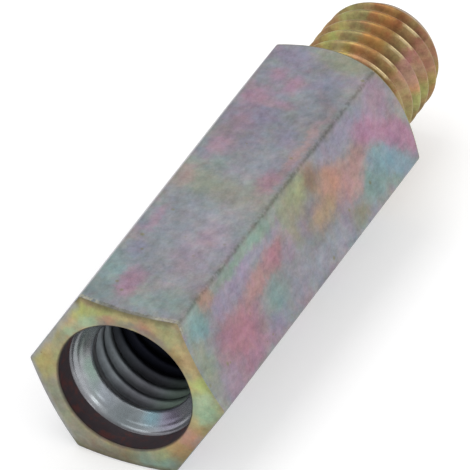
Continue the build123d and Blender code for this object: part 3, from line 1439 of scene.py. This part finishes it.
@dataclass(frozen=True)
class StudFinish(Finish):
    """The stud: gold, olive and copper film, with a painted highlight, pale and smoother, on the crests over
    one band of angles round the axis, painted brown shade in the grooves, and the plain film on its end
    face. A rise or a fall gives the angles round the axis between which the groove shade or the crest
    highlight comes or goes. Radii give where the end face and the grooves end and where the crests begin."""

    end_radii: tuple[float, float] = (3.55, 4.05)
    groove_radii: tuple[float, float] = (4.18, 4.825)
    crest_radii: tuple[float, float] = (4.785, 4.875)
    crest_roughness: float = 0.33
    crest_highlight_share: float = 0.6
    groove_shade_rise: tuple[float, float] = (45.0, 60.0)
    groove_shade_fall: tuple[float, float] = (105.0, 120.0)
    highlight_rise: tuple[float, float] = (56.0, 64.0)
    highlight_fall: tuple[float, float] = (72.0, 82.0)

    def build(self, groups: FinishGroups, form: TurnedSpacer) -> bpy.types.Material:
        """Makes the material.

        Args:
            groups: The shared node groups.
            form: The spacer that it dresses.

        Returns:
            The material.
        """
        material, pattern = self.start()
        graph = pattern.graph
        film = self.film(pattern, groups, 0.7, (Tint.OLIVE, Tint.ROSE, Tint.GOLD, Tint.COPPER))
        laid = [cloud.round_the_stud(form.stud_radius) for cloud in self.clouds]
        shoulder = form.body_length - form.total_length / 2
        wrapped = pattern.wrapped(form.stud_radius, shoulder)
        colour = self.clouded(pattern, groups, film, wrapped, laid)
        fleck_tints = (Tint.LIME, Tint.RUSSET, Tint.GOLD, Tint.COPPER)
        colour = self.flecked(pattern, groups, colour, 0.24, 1.3, fleck_tints)
        end_face = graph.ramp(pattern.radius, *self.end_radii, 1.0, 0.0)
        colour = graph.mix(end_face, colour, film)
        groove = graph.ramp(pattern.radius, *self.groove_radii, 1.0, 0.0)
        groove = graph.math("SUBTRACT", groove, end_face, clamp=True)
        turned = graph.math("DEGREES", pattern.angle())
        wandering = graph.math("MULTIPLY_ADD", graph.noise(pattern.place, 0.9, 4.0, 0.7), 30.0, turned)
        # Painted shade: the grooves darken toward umber, a little all round and most over the groove shade's
        # angles.
        shaded_grooves = graph.ramp(graph.band(wandering, self.groove_shade_rise, self.groove_shade_fall), 0.0, 1.0, 0.1, 0.6)
        colour = graph.mix(graph.product(groove, shaded_grooves), colour, Tint.UMBER)
        # Painted highlight: crests over one band of angles are lightened toward pale cream and made smoother.
        crest = graph.ramp(pattern.radius, *self.crest_radii)
        highlit_crest = graph.product(crest, graph.band(wandering, self.highlight_rise, self.highlight_fall))
        colour = graph.mix(graph.product(highlit_crest, self.crest_highlight_share), colour, Tint.BARE_CREST)
        roughness = graph.ramp(highlit_crest, 0.0, 1.0, self.roughness, self.crest_roughness)
        self.finish(pattern, groups, colour, roughness)
        return material


# ------------------------------------------------------------------------- where the tints lie

# Across is measured from the upper right edge: positive on the top flat, negative on the right-hand flat.
FLAT_CLOUDS = (
    Cloud(3.9, 5.4, 3.2, 1.4, Tint.PINK, 2.4),
    Cloud(4.2, 7.3, 5.0, 1.8, Tint.TEAL, 1.2),
    Cloud(1.6, 6.6, 2.2, 2.6, Tint.TEAL, 0.6),
    Cloud(7.8, 6.7, 2.4, 1.4, Tint.VIOLET, 0.8),
    Cloud(12.3, 6.9, 3.0, 1.0, Tint.PINK, 0.6),
    Cloud(2.2, 2.2, 3.8, 3.4, Tint.TEAL, 0.4),
    Cloud(9.3, 2.6, 6.5, 2.8, Tint.MAUVE),
    Cloud(11.5, 2.3, 3.2, 1.8, Tint.PINK, 0.7),
    Cloud(10.9, 2.3, 0.9, 0.9, Tint.SALMON, 0.8),
    Cloud(8.5, 5.0, 6.5, 1.8, Tint.BLUE_GREY),
    Cloud(13.5, 4.8, 4.5, 3.0, Tint.BLUE_GREY),
    Cloud(17.8, 4.5, 3.6, 8.0, Tint.OLIVE, 0.6, -5.0),
    Cloud(17.9, 7.3, 2.4, 1.2, Tint.SALMON, 0.7),
    Cloud(19.8, 1.3, 2.8, 1.2, Tint.CRIMSON, 1.1),
    Cloud(25.0, 0.8, 8.5, 0.7, Tint.SALMON, 0.8),
    Cloud(22.6, 2.9, 4.6, 2.4, Tint.BLUE_GREY, 1.3),
    Cloud(22.8, 6.6, 2.6, 1.6, Tint.PINK, 0.8),
    Cloud(20.6, 5.6, 2.2, 2.0, Tint.TEAL, 0.5),
    Cloud(26.1, 6.3, 2.2, 2.0, Tint.PINK, 0.9),
    Cloud(29.7, 6.8, 2.4, 2.0, Tint.PINK, 1.6),
    Cloud(29.5, 4.9, 1.3, 2.4, Tint.PINK, 0.8),
    Cloud(27.6, 5.0, 2.4, 1.8, Tint.VIOLET, 1.4),
    Cloud(25.9, 2.7, 2.6, 1.6, Tint.VIOLET),
    Cloud(24.6, 4.6, 2.6, 1.6, Tint.LILAC, 0.8),
    Cloud(33.2, 6.3, 2.0, 1.3, Tint.PINK, 0.8),
    Cloud(32.3, 4.6, 2.4, 1.4, Tint.PINK, 0.8),
    Cloud(33.2, 2.4, 2.8, 1.9, Tint.VIOLET, 0.6),
    Cloud(30.0, 2.6, 3.4, 2.4, Tint.BLUE_GREY),
    Cloud(35.6, 6.1, 2.0, 2.2, Tint.VIOLET, 1.3),
    Cloud(36.9, 2.2, 2.2, 4.4, Tint.OLIVE, 1.4),
    Cloud(11.0, 2.4, 10.0, 4.4, Tint.HAZE, 0.55),
    Cloud(19.4, 4.0, 3.4, 3.4, Tint.HAZE, 0.4),
    Cloud(25.8, 4.8, 6.5, 7.5, Tint.SHADE, 0.35),
    Cloud(30.5, 1.6, 7.5, 2.6, Tint.SHADE, 0.4),
    Cloud(2.2, 7.0, 4.6, 3.4, Tint.SHADE, 0.4),
    Cloud(12.0, -5.4, 22.0, 5.0, Tint.SHADE, 0.3),
    Cloud(4.6, -3.4, 5.0, 8.0, Tint.SHADE, 0.3),
    Cloud(22.5, -3.6, 6.0, 6.0, Tint.SHADE, 0.35),
    Cloud(2.9, -1.5, 3.0, 2.0, Tint.TEAL, 1.4),
    Cloud(2.7, -1.6, 1.8, 1.6, Tint.CYAN, 1.2),
    Cloud(1.2, -4.6, 1.6, 4.4, Tint.OLIVE, 0.6),
    Cloud(4.9, -0.7, 1.8, 1.3, Tint.ORANGE, 1.2),
    Cloud(1.7, -4.3, 2.4, 3.6, Tint.MINT, 0.5),
    Cloud(11.0, -0.7, 12.0, 1.0, Tint.MINT, 1.1),
    Cloud(7.0, -2.2, 5.0, 1.8, Tint.LILAC, 1.2),
    Cloud(12.5, -1.7, 7.0, 1.2, Tint.LILAC, 0.7),
    Cloud(7.0, -5.0, 6.4, 3.6, Tint.CRIMSON, 1.6),
    Cloud(11.5, -3.5, 5.5, 1.3, Tint.SALMON, 1.5, 8.0),
    Cloud(14.7, -2.9, 3.0, 1.6, Tint.CRIMSON, 1.2, 10.0),
    Cloud(3.6, -6.6, 4.0, 2.2, Tint.MAUVE),
    Cloud(7.6, -7.2, 5.0, 1.4, Tint.PINK, 0.8),
    Cloud(12.5, -5.4, 3.6, 2.4, Tint.TEAL),
    Cloud(11.6, -6.9, 2.6, 1.6, Tint.VIOLET, 0.8),
    Cloud(16.7, -3.9, 2.2, 1.8, Tint.MAUVE, 0.9),
    Cloud(16.5, -6.0, 6.0, 2.6, Tint.BLUE_GREY, 0.8),
    Cloud(18.3, -2.5, 1.8, 5.0, Tint.OLIVE, 0.6),
    Cloud(20.4, -1.5, 3.8, 2.4, Tint.OLIVE, 1.6),
    Cloud(21.4, -1.2, 2.6, 1.6, Tint.LIME, 0.9),
    Cloud(23.2, -1.5, 2.0, 1.8, Tint.BROWN, 2.6),
    Cloud(23.2, -1.6, 1.2, 1.2, Tint.UMBER, 0.5),
    Cloud(22.8, -4.3, 3.8, 1.8, Tint.YELLOW, 1.5),
    Cloud(25.2, -3.2, 3.4, 2.4, Tint.ORANGE, 2.0),
    Cloud(27.5, -4.6, 2.8, 2.0, Tint.SALMON, 1.3, -30.0),
    Cloud(29.4, -3.8, 3.2, 1.8, Tint.SALMON, 1.4),
    Cloud(28.5, -1.2, 7.0, 2.0, Tint.LILAC, 1.1),
    Cloud(27.0, -1.2, 4.0, 2.4, Tint.SHADE, 0.3),
    Cloud(32.0, -2.8, 3.6, 1.8, Tint.PINK, 1.6, -20.0),
    Cloud(34.8, -4.6, 4.6, 1.8, Tint.PINK, 1.8, -38.0),
    Cloud(36.4, -6.2, 2.6, 1.8, Tint.PINK, 1.5, -45.0),
    Cloud(35.4, -1.7, 2.8, 2.6, Tint.MAUVE, 1.1),
    Cloud(33.0, -5.9, 4.8, 2.2, Tint.CYAN, 1.8, -25.0),
    Cloud(29.8, -6.4, 4.0, 2.4, Tint.TEAL, 0.9),
    Cloud(26.9, -7.0, 2.6, 1.3, Tint.MOSS, 0.9),
    Cloud(22.0, -6.6, 6.0, 2.0, Tint.BLUE_GREY, 0.9),
)

RING_CLOUDS = (
    Cloud(-2, 6.7, 2.2, 1.9, Tint.SPRING, 1.6),
    Cloud(-4, 6.9, 1.6, 1.4, Tint.MINT, 1.0),
    Cloud(2, 5.9, 1.6, 0.8, Tint.MINT, 0.6),
    Cloud(10, 6.5, 1.3, 1.6, Tint.SPRING, 0.8),
    Cloud(19, 6.7, 1.5, 1.8, Tint.LEMON, 1.6),
    Cloud(33, 6.5, 1.8, 2.0, Tint.TAN, 1.2),
    Cloud(30, 5.9, 1.4, 0.8, Tint.PEWTER, 0.6),
    Cloud(46, 6.6, 1.2, 1.6, Tint.TAN, 0.8),
    Cloud(45, 5.85, 2.2, 0.9, Tint.BROWN, 1.9),
    Cloud(47, 5.7, 2.0, 0.5, Tint.SOOT, 0.9),
    Cloud(60, 6.8, 2.0, 1.6, Tint.OLIVE, 1.0),
    Cloud(60, 5.9, 1.6, 0.8, Tint.SHADE, 0.9),
    Cloud(75, 6.2, 2.0, 1.0, Tint.ROSE, 0.8),
    Cloud(76, 5.8, 1.8, 0.7, Tint.SHADE, 0.9),
    Cloud(73, 6.6, 1.2, 0.8, Tint.TAN, 0.6),
    Cloud(90, 6.5, 2.0, 0.9, Tint.TAN, 0.7),
    Cloud(90, 5.9, 1.8, 0.7, Tint.SHADE, 0.7),
    Cloud(104, 6.2, 1.8, 0.9, Tint.ROSE, 0.5),
    Cloud(106, 5.8, 1.6, 0.7, Tint.SHADE, 0.8),
    Cloud(119, 6.1, 2.0, 1.1, Tint.SPRING, 1.5),
    Cloud(111, 6.9, 2.2, 0.7, Tint.LIME, 0.7),
    Cloud(124, 7.1, 1.6, 1.0, Tint.LEMON, 1.0),
    Cloud(137, 6.6, 1.6, 1.2, Tint.TAN, 0.9),
    Cloud(138, 5.9, 1.6, 0.7, Tint.SPRING, 1.2),
    Cloud(150, 6.3, 2.0, 1.6, Tint.OLIVE, 1.1),
    Cloud(151, 5.9, 1.6, 0.8, Tint.PEWTER, 1.0),
    Cloud(163, 6.8, 1.4, 1.4, Tint.TAN, 1.0),
    Cloud(168, 5.9, 2.0, 0.8, Tint.OLIVE, 1.0),
    Cloud(177, 6.8, 2.4, 1.6, Tint.GOLD, 1.0),
    Cloud(181, 6.6, 2.0, 1.6, Tint.OLIVE, 1.0),
    Cloud(195, 6.6, 1.8, 1.8, Tint.PEWTER, 0.8),
    Cloud(196, 5.9, 1.6, 0.7, Tint.PEWTER, 0.9),
    Cloud(209, 6.4, 2.4, 1.8, Tint.PEWTER, 1.6),
    Cloud(226, 6.2, 2.0, 1.4, Tint.PEWTER, 0.9),
    Cloud(238, 6.9, 3.0, 1.8, Tint.PEWTER, 1.1),
    Cloud(240, 7.0, 2.4, 1.6, Tint.SOOT, 0.7),
    Cloud(256, 6.8, 2.6, 1.6, Tint.SOOT, 2.0),
    Cloud(253, 5.9, 1.8, 0.8, Tint.PEWTER, 0.9),
    Cloud(272, 6.5, 2.2, 1.6, Tint.SOOT, 1.1),
    Cloud(287, 6.5, 1.8, 1.6, Tint.TEAL, 1.0),
    Cloud(285, 6.1, 1.6, 1.2, Tint.PEWTER, 1.0),
    Cloud(285, 7.0, 1.8, 0.8, Tint.CYAN, 0.8),
    Cloud(300, 7.0, 2.4, 1.8, Tint.TEAL, 0.9),
    Cloud(302, 7.2, 1.6, 1.2, Tint.SHADE, 0.8),
    Cloud(301, 6.1, 1.6, 0.9, Tint.OLIVE, 0.9),
    Cloud(314, 5.9, 1.2, 0.8, Tint.YELLOW, 0.7),
    Cloud(317, 6.7, 2.0, 1.6, Tint.BROWN, 1.5),
    Cloud(331, 6.4, 2.0, 1.6, Tint.ROSE, 1.5),
    Cloud(333, 5.9, 1.6, 0.9, Tint.SALMON, 1.5),
    Cloud(332, 7.1, 1.4, 0.8, Tint.MAUVE, 0.8),
    Cloud(347, 6.0, 1.8, 1.0, Tint.TAN, 1.2),
    Cloud(344, 6.8, 1.4, 1.2, Tint.BROWN, 0.7),
)

COUNTERSINK_CLOUDS = (
    Cloud(284, 4.5, 1.7, 0.9, Tint.CYAN, 1.0),
    Cloud(302, 4.6, 1.8, 1.0, Tint.LILAC, 1.6),
    # Painted light: a paler patch on the countersink's inner part, where it would lie in shade.
    Cloud(166, 4.4, 3.2, 0.6, Tint.PALE_STEEL, 1.6),
    Cloud(160, 4.55, 2.6, 0.8, Tint.MINT, 0.5),
    Cloud(200, 4.45, 3.4, 0.6, Tint.MINT, 0.5),
    Cloud(228, 4.5, 2.2, 0.7, Tint.BLUE_GREY, 0.9),
    Cloud(258, 4.8, 2.8, 1.4, Tint.DARK_STEEL, 1.6),
)

BORE_THREAD_CLOUDS = (
    Cloud(302, 4.6, 3.4, 1.6, Tint.SHADED_GREEN, 1.3),
    Cloud(255, 4.6, 3.0, 1.4, Tint.SHADE, 0.9),
)

STUD_CLOUDS = (
    Cloud(2.0, 0, 3.4, 24, Tint.OLIVE, 1.2),
    Cloud(6.0, -4, 4.0, 22, Tint.LIME, 0.8),
    Cloud(9.0, 0, 4.0, 22, Tint.GOLD, 0.8),
    Cloud(3.4, 18, 2.6, 18, Tint.TAN, 1.0),
    Cloud(5.4, 14, 3.0, 10, Tint.ORANGE, 0.7),
    Cloud(5.6, 24, 3.0, 14, Tint.SALMON, 1.7),
    Cloud(8.8, 14, 3.0, 18, Tint.ROSE, 1.9),
    Cloud(2.2, 38, 2.6, 18, Tint.BROWN),
    Cloud(5.0, 36, 2.0, 12, Tint.SALMON, 1.0),
    Cloud(6.4, 38, 2.2, 14, Tint.CRIMSON, 1.2),
    Cloud(8.6, 34, 2.6, 16, Tint.ROSE, 1.6),
    Cloud(9.0, 42, 2.4, 14, Tint.RUSSET, 1.4),
    Cloud(3.2, 55, 3.4, 18, Tint.BROWN, 1.0),
    Cloud(5.8, 50, 2.4, 10, Tint.MOSS, 1.2),
    Cloud(5.4, 54, 3.0, 14, Tint.BROWN, 1.8),
    Cloud(8.6, 56, 3.0, 16, Tint.BROWN, 1.8),
    Cloud(2.0, 76, 3.2, 18, Tint.ORANGE, 1.4),
    Cloud(5.4, 72, 3.2, 16, Tint.COPPER, 1.2),
    Cloud(5.0, 82, 3.0, 12, Tint.COPPER, 1.6),
    Cloud(8.4, 70, 3.0, 14, Tint.RUST, 1.6),
    Cloud(8.4, 80, 3.0, 14, Tint.COPPER, 2.2),
    Cloud(8.8, 92, 3.4, 12, Tint.RUST, 1.4),
    Cloud(2.6, 94, 2.8, 14, Tint.GOLD, 1.0),
    Cloud(2.4, 104, 2.8, 12, Tint.OLIVE, 1.2),
    Cloud(5.6, 98, 3.0, 14, Tint.MOSS, 2.2),
    Cloud(8.2, 100, 3.2, 12, Tint.UMBER, 0.5),
    Cloud(8.0, 104, 3.0, 14, Tint.MOSS, 1.8),
    Cloud(5.0, 118, 3.0, 14, Tint.LEMON, 1.8),
    Cloud(5.4, 124, 3.0, 16, Tint.GOLD, 1.0),
    Cloud(8.4, 118, 3.4, 16, Tint.MOSS, 1.2),
    Cloud(8.0, 122, 3.4, 16, Tint.LIME, 0.6),
    Cloud(6.0, 138, 8.0, 22, Tint.BROWN, 0.9),
)


# ------------------------------------------------------------------------------- floor and light


@dataclass(frozen=True)
class Softbox:
    """A soft oblong lamp that points at the spacer. Its direction is from the spacer, its distance and sides
    are in metres, its radiance is 1 where its face is plain white, and its longer side runs along."""

    name: str
    direction: tuple[float, float, float]
    distance: float
    length: float
    width: float
    radiance: float
    along: tuple[float, float, float] = (1.0, 0.0, 0.0)

    def place(self) -> None:
        """Makes the lamp, which isn't seen itself."""
        light = bpy.data.lights.new(self.name, "AREA")
        light.shape = "RECTANGLE"
        light.size, light.size_y = self.length, self.width
        light.energy = self.radiance * math.pi * self.length * self.width
        lamp = bpy.data.objects.new(self.name, light)
        back = Vector(self.direction).normalized()
        side = (Vector(self.along) - back * back.dot(Vector(self.along))).normalized()
        turned = Matrix((side, back.cross(side), back)).transposed().to_4x4()
        lamp.matrix_world = Matrix.Translation(back * self.distance) @ turned
        lamp.visible_camera = False
        bpy.context.scene.collection.objects.link(lamp)


SOFTBOXES = (
    Softbox("overhead_softbox", (-0.35, -0.2, 1.0), 0.9, 0.6, 0.6, 1.8),
    Softbox("back_right_strip", (0.43, 0.74, 0.51), 0.8, 0.16, 0.08, 14.0, (-0.267, 0.0, 0.224)),
    Softbox("front_right_spot", (0.496, -0.807, 0.323), 0.8, 0.09, 0.09, 9.0),
)


@dataclass
class Studio:
    """Pale floor, white surroundings, soft lamps and the camera, in metres and degrees."""

    floor_half_width: float = 1.5
    floor_gap: float = 0.00001
    floor_white: float = 0.8
    floor_roughness: float = 0.9
    floor_lift: float = 0.34
    light_level: float = 0.75
    azimuth: float = 23.81
    elevation: float = 36.09
    roll: float = 0.95
    distance: float = 1.131
    lens: float = 1140.8
    sensor: float = 36.0
    aim_depth: float = 0.018
    aim_right: float = 0.00088
    aim_up: float = 0.00196
    clipping: tuple[float, float] = (0.1, 10.0)

    def seen_directly(self, graph: Graph) -> bpy.types.NodeSocket:
        """Gives 1 for rays that show what they meet: camera, glossy and transmission rays."""
        path = graph.add("ShaderNodeLightPath").outputs
        either = graph.math("MAXIMUM", path["Is Camera Ray"], path["Is Glossy Ray"])
        return graph.math("MAXIMUM", either, path["Is Transmission Ray"])

    def floor(self) -> bpy.types.Object:
        """Makes the floor, just under the spacer, white where no shadow falls on it.

        Returns:
            The floor's object.
        """
        reach = self.floor_half_width
        ground = [(-reach, -reach), (reach, -reach), (reach, reach), (-reach, reach)]
        mesh = bpy.data.meshes.new("floor")
        mesh.from_pydata([(x, y, -self.floor_gap) for x, y in ground], [], [(0, 1, 2, 3)])
        material = bpy.data.materials.new("pale_floor")
        material.use_nodes = True
        graph = Graph(material.node_tree)
        white = (self.floor_white, self.floor_white, self.floor_white, 1.0)
        lift = graph.math("MULTIPLY", self.seen_directly(graph), self.floor_lift)
        shader = graph.add(
            "ShaderNodeBsdfPrincipled",
            {"Base Color": white, "Roughness": self.floor_roughness, "Specular IOR Level": 0.0,
             "Emission Color": (1.0, 1.0, 1.0, 1.0), "Emission Strength": lift},
        )
        graph.add("ShaderNodeOutputMaterial", {"Surface": shader.outputs[0]})
        mesh.materials.append(material)
        floor = bpy.data.objects.new("floor", mesh)
        bpy.context.scene.collection.objects.link(floor)
        return floor

    def world(self) -> None:
        """Makes the white surroundings: full white where they show, and a little less as light."""
        world = bpy.data.worlds.new("white_surroundings")
        world.use_nodes = True
        graph = Graph(world.node_tree)
        level = graph.ramp(self.seen_directly(graph), 0.0, 1.0, self.light_level, 1.0)
        background = graph.add("ShaderNodeBackground", {"Color": (1.0, 1.0, 1.0, 1.0), "Strength": level})
        graph.add("ShaderNodeOutputWorld", {"Surface": background.outputs[0]})
        bpy.context.scene.world = world

    def camera(self) -> None:
        """Makes the camera: it looks along its azimuth and down by its elevation, rolled a little, at a
        point set off to the right of and above the bar's axis, a way in from its open end."""
        azimuth, elevation, roll = map(math.radians, (self.azimuth, self.elevation, self.roll))
        right = Vector((math.cos(azimuth), math.sin(azimuth), 0.0))
        level_forward = Vector((-math.sin(azimuth), math.cos(azimuth), 0.0))
        forward = level_forward * math.cos(elevation) - Vector((0.0, 0.0, math.sin(elevation)))
        up = right.cross(forward)
        rolled_right = right * math.cos(roll) + up * math.sin(roll)
        rolled_up = up * math.cos(roll) - right * math.sin(roll)
        on_axis = Vector((0.0, cad_bounds[0].y + self.aim_depth, cad_bounds[1].z / 2))
        aim = on_axis + rolled_right * self.aim_right + rolled_up * self.aim_up
        data = bpy.data.cameras.new("camera")
        data.lens = self.lens
        data.sensor_width = self.sensor
        data.clip_start, data.clip_end = self.clipping
        camera = bpy.data.objects.new("camera", data)
        basis = Matrix((rolled_right, rolled_up, -forward)).transposed().to_4x4()
        camera.matrix_world = Matrix.Translation(aim - forward * self.distance) @ basis
        bpy.context.scene.collection.objects.link(camera)
        bpy.context.scene.camera = camera

    def build(self) -> None:
        """Makes the floor, the surroundings, the lamps and the camera."""
        self.floor()
        self.world()
        for softbox in SOFTBOXES:
            softbox.place()
        self.camera()
        bpy.context.scene.view_settings.view_transform = "Standard"


def dressed_zones(form: TurnedSpacer) -> dict[Zone, bpy.types.Material]:
    """Makes the finish of each zone.

    Args:
        form: The spacer that they dress.

    Returns:
        The material of each zone.
    """
    groups = FinishGroups()
    flats = FlatsFinish("plated_flats", grain_contrast=1.2, grain_drift=0.75, clouds=FLAT_CLOUDS)
    turned = TurnedFinish("plated_turned_ends", roughness=0.4, wander=0.42, grain_contrast=1.1,
                          grain_drift=0.5, clouds=RING_CLOUDS)
    counterbore = CounterboreFinish("shaded_counterbore", roughness=0.55, metallic=0.2,
                                    grain_contrast=0.8)
    bore = BoreFinish("cut_bore", roughness=0.26, metallic=0.75, wander=0.15, grain_contrast=0.9,
                      clouds=COUNTERSINK_CLOUDS, thread_clouds=BORE_THREAD_CLOUDS)
    stud = StudFinish("plated_stud", metallic=0.8, wander=0.7, grain_contrast=1.7, grain_drift=0.6,
                      clouds=STUD_CLOUDS)
    return {
        Zone.FLATS: flats.build(groups, form),
        Zone.TURNED_ENDS: turned.build(groups, form),
        Zone.COUNTERBORE: counterbore.build(groups),
        Zone.BORE: bore.build(groups, form),
        Zone.STUD: stud.build(groups, form),
    }


def main() -> None:
    logging.basicConfig(level=logging.INFO, format="%(name)s: %(message)s")
    low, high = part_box(CAD_NODE)
    extent = (high - low) * MM_PER_METRE
    form = TurnedSpacer(across_flats=extent.z, total_length=extent.y)
    spacer = form.build()
    finishes = dressed_zones(form)
    for zone in Zone:
        spacer.data.materials.append(finishes[zone])
    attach(spacer, BODY)
    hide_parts(CAD_NODE)
    log.info("%s: %d triangles", spacer.name, len(spacer.data.polygons))
    Studio().build()


if __name__ == "__main__":
    main()
